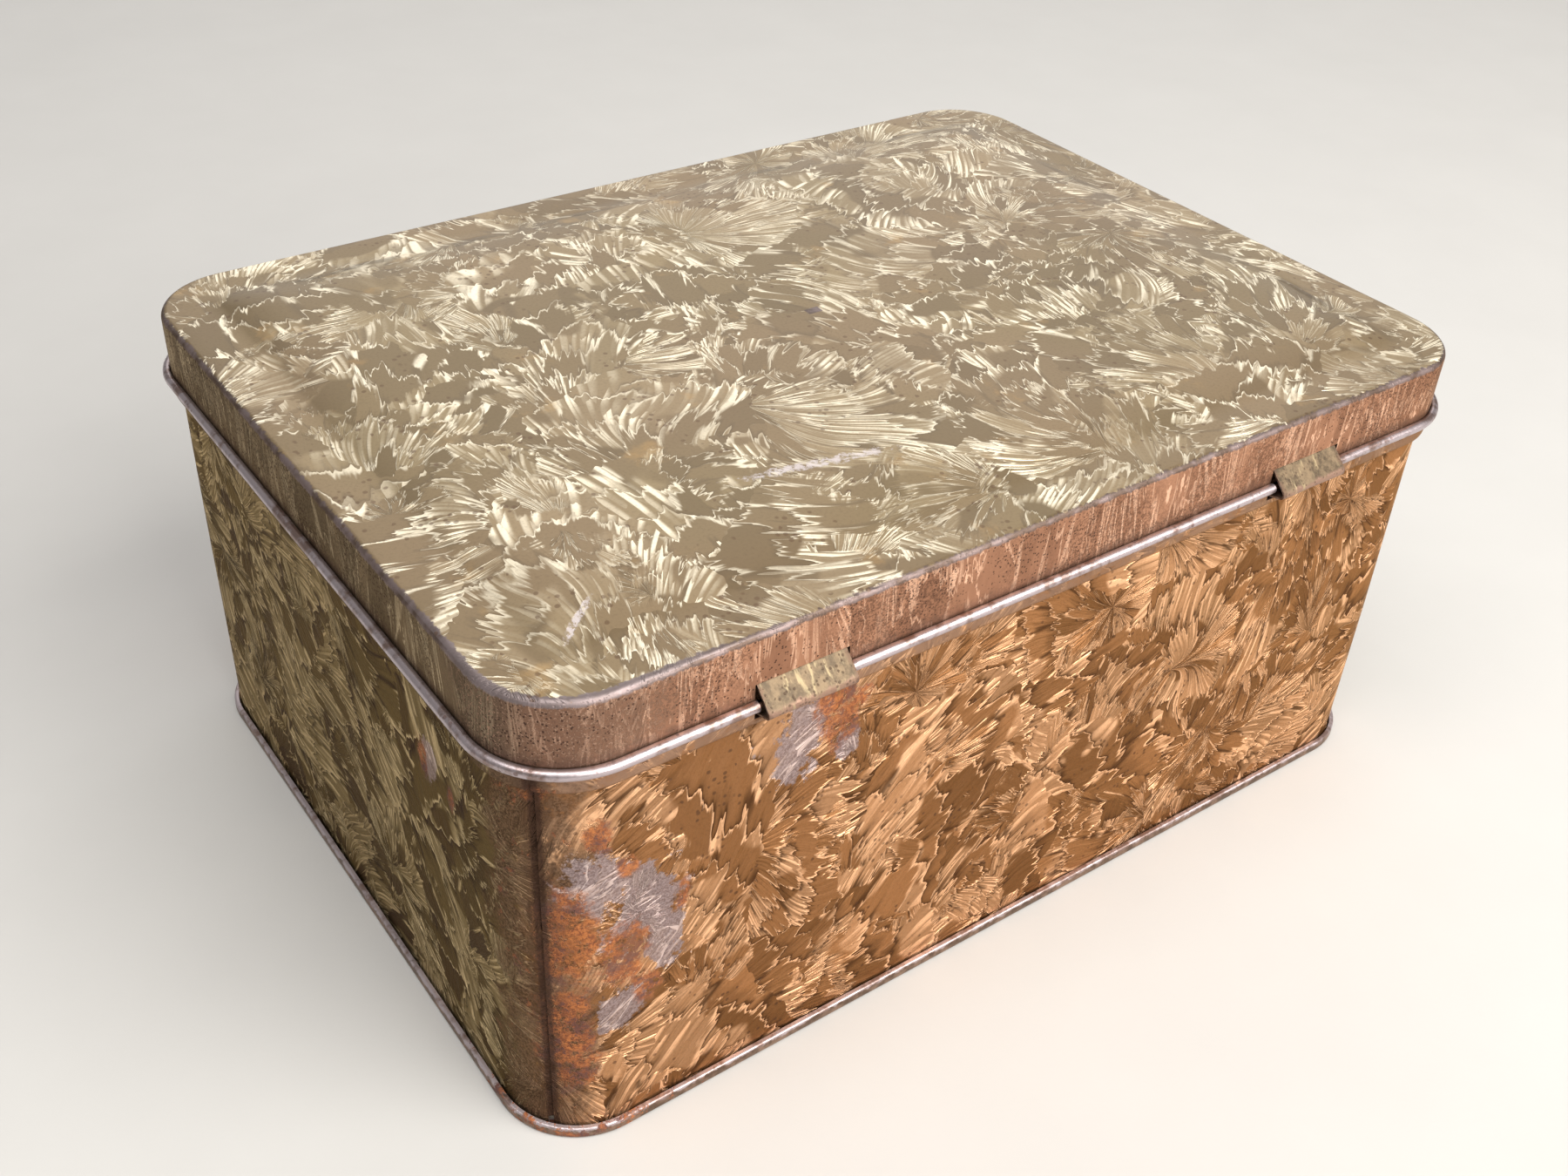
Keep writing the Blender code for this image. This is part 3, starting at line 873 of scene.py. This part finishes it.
def lid_top_finish():
    """Olive-gold crystallised lacquer, bright where the crystals' rims catch the light."""
    f = Finish("lid_top_lacquer")
    plane = f.vector('MULTIPLY', f.place, (1, 1, 0))
    crystal = two_sizes(f, plane, (1.0, 40, -84, (95, 75)), (0.68, 610, -94, (80, 80)), 30)
    fine = f.noise(0.8, 3, 0.6, at=plane)
    broad = f.noise(70, 2, at=plane)

    f.colour = f.mix(crystal['tone'], (0.195, 0.138, 0.077), (0.29, 0.21, 0.124))
    f.paint(crystal['feathery'], (0.44, 0.335, 0.205), 0.4)
    f.paint(f.ease(broad, 0.4, 0.62), (0.95, 0.975, 0.92), blend='MULTIPLY')
    # Painted shade behind each crystal's rim.
    f.paint(crystal['crease_shade'], (0.13, 0.095, 0.06), 0.4)
    # Painted highlights: the crystals' petals, strongest where they crowd, and their toothed rims.
    crowded = f.ease(f.noise(26, 3, 0.6, at=f.vector('MULTIPLY', plane, (1, 0.45, 1))), 0.4, 0.6)
    feathers = f.times(crystal['petals'], f.span(crowded, 0, 1, 0.2, 1.7))
    f.paint(feathers, (1.0, 0.9, 0.7))
    toothed = f.times(crystal['rim'], f.span(f.ease(crystal['streak'], 0.38, 0.56), 0, 1, 0.35, 1),
                      f.span(crowded, 0, 1, 0.55, 1))
    f.paint(toothed, (1.0, 0.91, 0.72))
    amber = f.ease(f.noise(17, 4, 0.6, at=f.vector('ADD', plane, (70, 20, 0))), 0.61, 0.74)
    f.paint(amber, (0.5, 0.31, 0.12), 0.4)
    f.paint(f.ease(fine, 0.45, 0.75), (0.15, 0.105, 0.065), 0.25)
    # Painted shade: a patchy dark line about 14 to 19 mm in from the -X and -Y edges, where the panel
    # slopes up; the same mask dips the bump.
    x, y = f.split(plane)[0:2]
    left = f.times(x, -1)
    front = f.add(f.times(y, -1), (CENTRE_Y + (LENGTH - WIDTH) / 2) / MM)
    out = f.add(f.most(left, front), -LENGTH / 2 / MM, f.sway(f.noise(30, 2, at=plane), 2.5))
    fold_shade = f.times(f.ease(out, -19, -17), f.ease(out, -14, -16))
    fold_shade = f.times(fold_shade, f.ease(f.noise(38, 3, 0.6, at=plane), 0.46, 0.6))
    f.paint(fold_shade, (0.1, 0.07, 0.045), 0.45)

    edge = f.math('ABSOLUTE', f.split(f.sheet)[1])
    ragged = f.add(edge, f.sway(f.noise(1.3, 4, 0.7), 0.5, 0.25, 0.75))
    patina = f.noise(6, 3, 0.6)
    near_corner = spots(f, LID_NEAR_CORNER, 0.2, 9, 0.5)
    width = f.add(f.span(near_corner, 0, 1, 0.55, 1.4), f.sway(patina, 0.25))
    worn = f.ease(f.math('SUBTRACT', width, ragged), -0.25, 0.25)
    bare = f.mix(f.ease(patina, 0.4, 0.62), (0.11, 0.076, 0.062), (0.19, 0.145, 0.14))
    bare = f.mix(f.times(near_corner, 0.6), bare, (0.26, 0.215, 0.22))
    f.paint(worn, bare)
    scraped = spots(f, LID_BARE, 0.75, 2.6, 0.25)
    scraped = f.times(scraped, f.ease(f.noise(1.4, 3, 0.7), 0.36, 0.56))
    f.paint(scraped, (0.74, 0.67, 0.69), 0.75)
    f.paint(specks(f, 1.5, 0.045), (0.12, 0.065, 0.035), 0.6)

    roughness = f.add(f.span(crystal['tone'], 0, 1, 0.36, 0.44), f.times(crystal['petals'], -0.06),
                      f.sway(fine, 0.03))
    height = f.add(f.times(crystal['tone'], 0.35), f.times(feathers, 0.6), f.times(toothed, 0.45),
                   f.times(fine, 0.12), f.times(scraped, -0.5), f.times(fold_shade, -2.0))
    return f.finish(roughness, 0.6, height, 0.16, 0.05)


def side_share(f):
    """1 where a surface faces the back, and 0 on the ends, smoothly round the corners; it picks
    painted light and shade: lighter, coppery colours on the long sides, darker ones on the ends.
    """
    facing = f.split(f.node('TexCoord').outputs['Normal'])[1]
    return f.ease(f.math('ABSOLUTE', facing), 0.25, 0.8)


SKIRT_WORN = (((131, 94, 120), (24, 22, 30)), ((-131, -96, 120), (22, 20, 30)))


def lid_skirt_finish():
    """Drawn metal, streaked upright, with painted highlights along its streaks and crystals, and
    painted light and shade by which way it faces: lighter and coppery on the long sides, darker
    and olive on the ends.
    """
    f = Finish("lid_skirt_lacquer")
    across, depth = f.split(f.sheet)[0:2]
    plane = f.join(across, f.times(depth, 0.3), 0)
    grain = crystals(f, plane, 0.42, 150)
    upright = f.noise(3.2, 4, 0.65, at=plane)
    broad = f.noise(20, 2, at=f.vector('ADD', plane, (0, 0, 5)))
    fine = f.noise(0.55, 4, 0.7)
    lit_long_side = side_share(f)

    # Lit and shaded copies of the colours, painted by which way the skirt faces: lighter and coppery
    # on the long sides, darker and olive on the ends.
    dark = f.mix(lit_long_side, (0.085, 0.058, 0.032), (0.26, 0.124, 0.074))
    light = f.mix(lit_long_side, (0.23, 0.165, 0.098), (0.5, 0.26, 0.16))
    bright = f.mix(lit_long_side, (0.62, 0.5, 0.33), (1.0, 0.63, 0.44))
    tone = f.add(f.times(grain['tone'], 0.65), f.times(f.ease(upright, 0.2, 0.8), 0.35))
    f.colour = f.mix(tone, dark, light)
    streaks = f.times(f.ease(upright, 0.59, 0.64), f.ease(broad, 0.46, 0.56))
    # Painted highlights along the crystals' petals and rims and the bright upright streaks.
    lit = f.most(grain['petals'], f.times(grain['rim'], 0.7), streaks)
    f.paint(f.times(lit, f.ease(fine, 0.3, 0.5)), bright, 0.9)
    corner = spots(f, SKIRT_WORN, 0.35, 9, 0.45)
    crowd = f.most(corner, f.ease(f.noise(24, 2), 0.38, 0.58))
    mottle = f.times(f.ease(fine, 0.47, 0.54), crowd)
    # The mottle's stain, too, in a lighter long-side copy and a darker end copy.
    stain = f.mix(lit_long_side, (0.03, 0.02, 0.013), (0.075, 0.035, 0.024))
    f.paint(mottle, stain, 0.6)
    f.paint(corner, (0.11, 0.075, 0.058), 0.5)
    f.paint(f.times(corner, f.ease(fine, 0.53, 0.61)), (0.42, 0.26, 0.18), 0.75)
    dots = f.times(specks(f, 0.75, 0.55, 0.4), f.ease(f.noise(30, 2), 0.4, 0.52))
    f.paint(dots, (0.055, 0.028, 0.022), 0.85)

    ragged = f.add(depth, f.sway(f.noise(1.3, 4, 0.7), 0.4, 0.25, 0.75))
    patina = f.noise(6, 3, 0.6)
    bare = f.mix(f.ease(patina, 0.4, 0.62), (0.115, 0.08, 0.066), (0.215, 0.165, 0.16))
    bare = f.mix(f.times(corner, 0.6), bare, (0.29, 0.24, 0.245))
    f.paint(f.ease(ragged, 1.1, 0.6), bare)
    low = f.ease(f.add(depth, f.sway(f.noise(2.5, 4, 0.7), 1.2)), 12.0, 15.0)
    f.paint(low, (0.12, 0.075, 0.055), 0.55)

    roughness = f.add(f.span(upright, 0.3, 0.7, 0.38, 0.46), f.times(dots, 0.15),
                      f.times(mottle, 0.08))
    height = f.add(f.times(grain['tone'], 0.3), f.times(upright, 0.5), f.times(grain['petals'], 0.3),
                   f.times(dots, -0.3), f.times(fine, 0.15))
    return f.finish(roughness, 0.72, height, 0.14, 0.0, (0.6, 0.5, 0.38))


def tin_colour(f, bright=(0.5, 0.43, 0.45), brown=(0.27, 0.19, 0.17)):
    """Rubbed tin, lilac-grey, with brown patina left on it in places."""
    patina = f.noise(4.5, 4, 0.6)
    broad = f.noise(30, 2)
    return f.mix(f.ease(f.add(patina, f.sway(broad, 0.12)), 0.64, 0.46), brown, bright)


def bead_finish():
    """The wired bead, worn to the tin."""
    f = Finish("bead_tin")
    f.colour = tin_colour(f)
    dots = specks(f, 1.3, 0.07)
    f.paint(dots, (0.16, 0.09, 0.075), 0.6)
    fine = f.noise(0.9, 3, 0.6)
    return f.finish(f.add(f.span(fine, 0.3, 0.7, 0.32, 0.4), f.times(dots, 0.2)), 0.9,
                    f.add(fine, f.times(dots, -0.5)), 0.04)


RIM_RUST = (((133, 96, 1), (24, 24, 9)), ((-60, -103, 1), (22, 9, 6)))


def rim_finish():
    """The base's seamed rim: coppery brown, worn along its top line, rusty near a corner."""
    f = Finish("rim_lacquer")
    height_mm = f.split(f.place)[2]
    patina = f.noise(3.0, 4, 0.65)
    f.colour = f.mix(f.ease(patina, 0.36, 0.66), (0.13, 0.08, 0.052), (0.3, 0.195, 0.14))
    worn = f.ease(f.add(height_mm, f.sway(patina, 0.7)), 2.2, 2.9)
    f.paint(worn, tin_colour(f))
    rust, crust = rust_colour(f)
    rusty = spots(f, RIM_RUST, 1.1, 4.0)
    rusty = f.times(rusty, f.ease(f.noise(2.2, 4, 0.7), 0.46, 0.58))
    f.paint(rusty, rust)
    fine = f.noise(0.8, 3, 0.6)
    roughness = f.add(f.span(patina, 0.3, 0.7, 0.36, 0.48), f.times(rusty, 0.35))
    return f.finish(roughness, f.span(rusty, 0, 1, 0.75, 0.05),
                    f.add(f.times(fine, 0.5), f.times(rusty, crust)), 0.1)


WALL_BARE = (
    ((123, 98, 79), (6.5, 9, 9)), ((112, 99, 68), (9.5, 8, 11)),
    ((107, 99, 54), (5.5, 8, 8)), ((119, 98, 40), (5, 8, 7)),
    ((75, 99, 94), (7.5, 8, 8.5)), ((62, 99, 88), (3, 8, 4)),
    ((139, 55, 88), (8, 3, 7)), ((-88, -101, 40), (9, 9, 14)),
)
WALL_RUST = (
    ((129, 97, 62), (6, 10, 16)), ((119, 99, 56), (6.5, 8, 8)),
    ((130, 96, 33), (5, 10, 16)), ((112, 99, 42), (3.5, 8, 5)),
    ((116, 99, 81), (2.5, 8, 3)), ((103, 99, 67), (2, 8, 6)),
    ((134, 93, 105), (2, 6, 3)), ((123, 98, 92), (3, 8, 4)),
    ((128, 97, 20), (3, 8, 3)), ((65, 99, 98), (6, 8, 8)),
    ((58, 99, 100), (3, 8, 3)), ((140, 51, 84), (8, 2, 6)),
    ((140, 64, 82), (8, 1.5, 4)), ((-120, -98, 22), (13, 10, 17)),
    ((-139, 30, 12), (8, 14, 6)),
)
WALL_SEAMS = (((137, 93, 50), (13, 13, 100)), ((-137, -95, 50), (13, 13, 100)))


def wall_finish(name, heading, seams):
    """Crystallised lacquer like overlapping scales, rusty in places, with painted highlights on the
    scales' rims and petals, painted shade on their back parts and behind their rims, a painted
    shadow along each seam, and painted light and shade by which way it faces: lighter and coppery
    on the long sides, darker on the ends.

    Heading is which way its crystals run, in degrees up from the horizontal. Seams are the
    pattern's coordinates of its two ends.
    """
    f = Finish(name)
    across, height_mm = f.split(f.sheet)[0:2]
    plane = f.join(across, height_mm, 0)
    large = (0.95, 300, heading, (90, 75))
    small = (0.68, 820, heading * 1.2, (75, 80))
    crystal = two_sizes(f, plane, large, small, 26)
    fine = f.noise(0.8, 3, 0.6)
    grit = f.noise(0.55, 4, 0.7)
    lit_long_side = side_share(f)

    # Lit and shaded copies of the colours, painted by which way the sheet faces: lighter and coppery
    # on the long sides, darker on the ends.
    dark = f.mix(lit_long_side, (0.05, 0.034, 0.014), (0.2, 0.092, 0.037))
    light = f.mix(lit_long_side, (0.15, 0.108, 0.052), (0.4, 0.19, 0.082))
    bright = f.mix(lit_long_side, (0.66, 0.52, 0.31), (1.0, 0.59, 0.34))
    shade_and_mottle = f.mix(lit_long_side, (0.016, 0.011, 0.005), (0.065, 0.027, 0.011))
    f.colour = f.mix(crystal['tone'], dark, light)
    f.paint(crystal['feathery'], bright, 0.25)
    # Painted shade on the back part of each scale, painted highlights on its petals, and painted shade
    # behind its rim.
    f.paint(f.ease(crystal['ahead'], -0.1, -0.6), shade_and_mottle, 0.4)
    f.paint(crystal['petals'], bright, 1.15)
    f.paint(crystal['crease_shade'], shade_and_mottle, 0.85)
    # Painted highlight along each scale's toothed rim.
    toothed = f.span(f.ease(crystal['streak'], 0.38, 0.56), 0, 1, 0.45, 1)
    f.paint(f.times(crystal['rim'], toothed), bright)
    # Fine dark mottle.
    f.paint(f.ease(fine, 0.45, 0.75), shade_and_mottle, 0.2)
    f.paint(specks(f, 1.3, 0.06), (0.07, 0.035, 0.025), 0.6)

    patina = f.noise(3.5, 4, 0.65)
    # The smooth band under the bead, also in a lighter long-side copy and a darker end copy.
    smooth_band = f.ease(height_mm, BAND_BOTTOM / MM - 0.3, BAND_BOTTOM / MM + 0.9)
    band = f.mix(lit_long_side, (0.105, 0.082, 0.066), (0.3, 0.185, 0.13))
    f.paint(f.times(smooth_band, f.ease(patina, 0.25, 0.55)), band, 0.85)
    seam = spots(f, WALL_SEAMS, 0.5, 9, 0.3)
    dull = f.mix(f.ease(grit, 0.42, 0.58), (0.075, 0.045, 0.03), (0.205, 0.125, 0.08))
    f.paint(f.times(seam, f.ease(patina, 0.24, 0.46)), dull, 0.8)
    tin = f.mix(f.ease(grit, 0.38, 0.62), (0.215, 0.16, 0.16), (0.4, 0.315, 0.32))
    glint = f.times(f.most(crystal['rim'], f.times(crystal['petals'], 0.7)), 0.8)
    tin = f.mix(glint, tin, (0.8, 0.66, 0.64))
    torn = f.sway(crystal['tone'], 0.1, 0, 1)
    bare = f.ease(f.add(spots(f, WALL_BARE, 0.95, 7, 0.4), torn), 0.3, 0.75)
    f.paint(bare, tin, 0.9)
    rust, crust = rust_colour(f)
    scatter = f.times(seam, f.ease(f.noise(5, 5, 0.75), 0.585, 0.66))
    rusty = f.most(spots(f, WALL_RUST, 0.75, 8, 0.3), f.times(scatter, 0.8))
    rusty = f.times(rusty, f.ease(f.noise(2.2, 4, 0.7), 0.33, 0.5))
    f.paint(rusty, rust, 0.95)
    halo = f.times(f.ease(f.noise(9, 4, 0.65), 0.48, 0.62), spots(f, WALL_RUST, 0.6, 12, 0.9))
    f.paint(halo, (0.34, 0.13, 0.035), 0.3)

    # Painted shadow in a dark line along each seam, where the sheets step, with speckled grime up to
    # about 4.5 mm from it.
    from_seam = [f.math('ABSOLUTE', f.add(across, -end)) for end in seams]
    from_seam = f.add(f.math('MINIMUM', *from_seam), f.sway(grit, 0.6))
    grime = f.times(f.ease(from_seam, 4.5, 1.0), f.ease(grit, 0.49, 0.55))
    seam_shadow_and_grime = f.most(f.ease(from_seam, 1.5, 0.7), grime)
    f.paint(seam_shadow_and_grime, (0.04, 0.02, 0.016), 0.85)

    roughness = f.add(f.span(crystal['tone'], 0, 1, 0.34, 0.44), f.times(crystal['petals'], -0.05),
                      f.times(rusty, 0.42), f.times(seam, 0.1), f.sway(fine, 0.03))
    metallic = f.span(rusty, 0, 1, 0.78, 0.0)
    scale = f.add(f.times(crystal['ahead'], 1.2), f.times(crystal['tone'], 0.6),
                  f.times(crystal['petals'], 0.7), f.times(crystal['rim'], 0.5))
    whole = f.math('SUBTRACT', 1.0, f.most(f.times(bare, 0.6), rusty, smooth_band))
    height = f.add(f.times(scale, whole), f.times(fine, 0.12), f.times(rusty, crust, 0.6),
                   f.times(grit, 0.12))
    return f.finish(roughness, metallic, height, 0.42, 0.0, (0.55, 0.42, 0.26))


def strap_finish(name, middle_x):
    """A strap's face: dull speckled khaki above, a coppery pink painted highlight over its nose."""
    f = Finish(name)
    x, _, height_mm = f.split(f.place)[0:3]
    patina = f.noise(2.6, 4, 0.65)
    brushed = f.noise(1.4, 3, 0.6, at=f.vector('MULTIPLY', f.place, (1, 0.25, 0.25)))
    f.colour = f.mix(f.ease(patina, 0.34, 0.66), (0.085, 0.06, 0.036), (0.215, 0.155, 0.094))
    # Painted highlight: coppery pink over the strap's rounded nose, below the hinge's height.
    above_hinge = f.add(height_mm, -HINGE_HEIGHT / MM, f.sway(patina, 0.5))
    f.paint(f.ease(above_hinge, 0.4, -0.8), (0.38, 0.225, 0.165), 0.7)
    f.paint(f.ease(brushed, 0.55, 0.7), (0.55, 0.45, 0.26), 0.4)
    dots = specks(f, 0.8, 0.3)
    f.paint(dots, (0.075, 0.045, 0.03), 0.55)
    ends = f.math('ABSOLUTE', f.add(x, -middle_x))
    f.paint(f.ease(f.add(ends, f.sway(patina, 0.8)), 10, 11), (0.13, 0.075, 0.05), 0.7)
    fine = f.noise(0.7, 3, 0.6)
    return f.finish(f.add(f.span(patina, 0.3, 0.7, 0.42, 0.56), f.times(dots, 0.15)), 0.6,
                    f.add(f.times(fine, 0.6), f.times(brushed, 0.5), f.times(dots, -0.4)), 0.1)


def underside_finish():
    """The base's underside: dull browned tin, scuffed."""
    f = Finish("underside_tin")
    patina = f.noise(16, 4, 0.65)
    fine = f.noise(0.9, 3, 0.6)
    scuff = f.noise(1.6, 3, 0.6, at=f.vector('MULTIPLY', f.place, (0.08, 1, 1)))
    f.colour = f.mix(f.ease(patina, 0.35, 0.65), (0.25, 0.165, 0.105), (0.44, 0.37, 0.31))
    f.paint(f.ease(scuff, 0.62, 0.72), (0.58, 0.52, 0.48), 0.5)
    rust, crust = rust_colour(f)
    rusty = f.ease(f.noise(30, 5, 0.65), 0.6, 0.66)
    f.paint(rusty, rust, 0.8)
    roughness = f.add(f.span(patina, 0.3, 0.7, 0.4, 0.52), f.times(rusty, 0.3))
    height = f.add(fine, f.times(rusty, crust))
    return f.finish(roughness, f.span(rusty, 0, 1, 0.7, 0.1), height, 0.08)


def floor_finish():
    """A pale matt floor with the faintest mottle."""
    f = Finish("floor_matt")
    mottle = f.noise(55, 3, 0.6)
    f.colour = f.mix(mottle, (0.52, 0.515, 0.505), (0.56, 0.555, 0.545))
    return f.finish(0.85, 0.0, f.noise(1.5, 3), 0.03)


# Floor, light and camera

def make_floor():
    """A pale floor, whose edge shows only from low down."""
    mesh = bmesh.new()
    bmesh.ops.create_grid(mesh, x_segments=4, y_segments=4, size=6)
    dress(finish("floor", mesh), floor_finish())


def make_light(name, at, target, size, power, colour):
    """A square soft box."""
    data = bpy.data.lights.new(name, 'AREA')
    data.size = size
    data.energy = power
    data.color = colour
    lamp = bpy.data.objects.new(name, data)
    lamp.location = at
    lamp.visible_camera = False
    lamp.rotation_mode = 'QUATERNION'
    lamp.rotation_quaternion = (Vector(target) - Vector(at)).to_track_quat('-Z', 'Y')
    bpy.context.scene.collection.objects.link(lamp)


def make_world():
    """Even pale surroundings."""
    world = bpy.data.worlds.new("studio")
    world.use_nodes = True
    back = world.node_tree.nodes['Background']
    back.inputs['Color'].default_value = (0.84, 0.83, 0.82, 1)
    back.inputs['Strength'].default_value = 0.33
    bpy.context.scene.world = world
    bpy.context.scene.view_settings.view_transform = 'Standard'


CAMERA_AT = Vector((0.2404, CENTRE_Y + 0.3109, 0.3296))
CAMERA_TARGET = Vector((0.0171, CENTRE_Y + 0.0163, 0.0599))
CAMERA_ROLL = 3
CAMERA_LENS = 38.87


def make_camera():
    """Above the near back corner, rolled a little, as a person holds a phone."""
    data = bpy.data.cameras.new("camera")
    data.sensor_width = 36
    data.lens = CAMERA_LENS
    data.clip_start = 0.01
    camera = bpy.data.objects.new("camera", data)
    camera.location = CAMERA_AT
    camera.rotation_mode = 'QUATERNION'
    look = (CAMERA_TARGET - CAMERA_AT).to_track_quat('-Z', 'Y')
    camera.rotation_quaternion = look @ Quaternion((0, 0, 1), math.radians(CAMERA_ROLL))
    bpy.context.scene.collection.objects.link(camera)
    bpy.context.scene.camera = camera


def assemble():
    """Make the pieces, and say which body each rides on, what it replaces and its finish."""
    pieces = (
        (make_wall("wall_back", 0), "box", "wall_sheet_back", "wall_lacquer"),
        (make_wall("wall_front", 2), "box", "wall_sheet_front", "wall_lacquer"),
        (make_base(), "box", "base_panel", "base_lacquer"),
        (make_strap("left"), "box", "hinge_strap_left", "strap_lacquer"),
        (make_strap("right"), "box", "hinge_strap_right", "strap_lacquer"),
        (make_lid(), "lid", "lid_shell", "lid_lacquer"),
        (make_wire(), "lid", "lid_wire", "wire_steel"),
    )
    for piece, body, node, slot in pieces:
        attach(piece, body)
        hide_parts(node)


assemble()
make_floor()
make_light("key", (-0.4, 1.25, 1.05), (0, 0, 0.06), 1.5, 50, (1.0, 0.96, 0.9))
make_light("back", (-0.85, -1.2, 1.00), (0, 0, 0.1), 1.9, 10, (1.0, 0.97, 0.93))
make_light("top", (0.55, 0.2, 1.45), (0, 0, 0.1), 0.9, 12, (1.0, 0.98, 0.95))
make_world()
make_camera()
